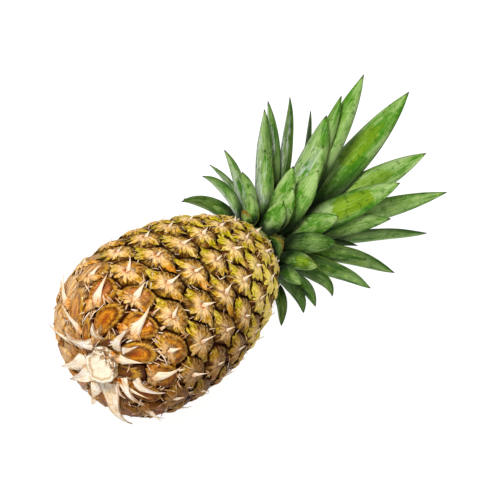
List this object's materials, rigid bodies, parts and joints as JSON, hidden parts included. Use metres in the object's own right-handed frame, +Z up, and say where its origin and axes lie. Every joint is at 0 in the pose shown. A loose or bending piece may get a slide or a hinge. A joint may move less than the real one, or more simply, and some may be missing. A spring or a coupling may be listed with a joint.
{
  "type": "whole pineapple",
  "caption": "Ripe whole pineapple in its rind, with its full crown of leaves, lying on its side on a small flat spot.",
  "frame": {"origin": "middle of the small flat spot on the fruit's underside, at the level it lies on", "axes": "+X from the fruit's base towards the crown, +Z up; the fruit's axis dips 6 degrees towards the crown"},
  "size_m": [0.3778, 0.1567, 0.1222],
  "materials": {
    "rind": "golden-yellow rind of six-sided eyes with brown grooves, cream papery spikes and orange centres, half gloss",
    "stem": "pale yellow-green, fibrous, matt",
    "leaf": "mid green with yellow-green patches, a pale bloom and fine lengthwise streaks, dark edges, half gloss"
  },
  "bodies": {
    "root": {"fruit": "rind", "crown_stem": "stem", "leaf_01": "leaf", "leaf_02": "leaf", "leaf_03": "leaf", "leaf_04": "leaf", "leaf_05": "leaf", "leaf_06": "leaf", "leaf_07": "leaf", "leaf_08": "leaf", "leaf_09": "leaf", "leaf_10": "leaf", "leaf_11": "leaf", "leaf_12": "leaf", "leaf_13": "leaf", "leaf_14": "leaf", "leaf_15": "leaf", "leaf_16": "leaf", "leaf_17": "leaf", "leaf_18": "leaf", "leaf_19": "leaf", "leaf_20": "leaf", "leaf_21": "leaf", "leaf_22": "leaf", "leaf_23": "leaf", "leaf_24": "leaf", "leaf_25": "leaf", "leaf_26": "leaf", "leaf_27": "leaf", "leaf_28": "leaf", "leaf_29": "leaf", "leaf_30": "leaf", "leaf_31": "leaf", "leaf_32": "leaf", "leaf_33": "leaf", "leaf_34": "leaf", "leaf_35": "leaf", "leaf_36": "leaf", "leaf_37": "leaf", "leaf_38": "leaf", "leaf_39": "leaf", "leaf_40": "leaf", "leaf_41": "leaf", "leaf_42": "leaf", "leaf_43": "leaf", "leaf_44": "leaf", "leaf_45": "leaf", "leaf_46": "leaf", "leaf_47": "leaf", "leaf_48": "leaf", "leaf_49": "leaf", "leaf_50": "leaf", "leaf_51": "leaf", "leaf_52": "leaf", "leaf_53": "leaf", "leaf_54": "leaf", "leaf_55": "leaf", "leaf_56": "leaf"}
  },
  "joints": []
}
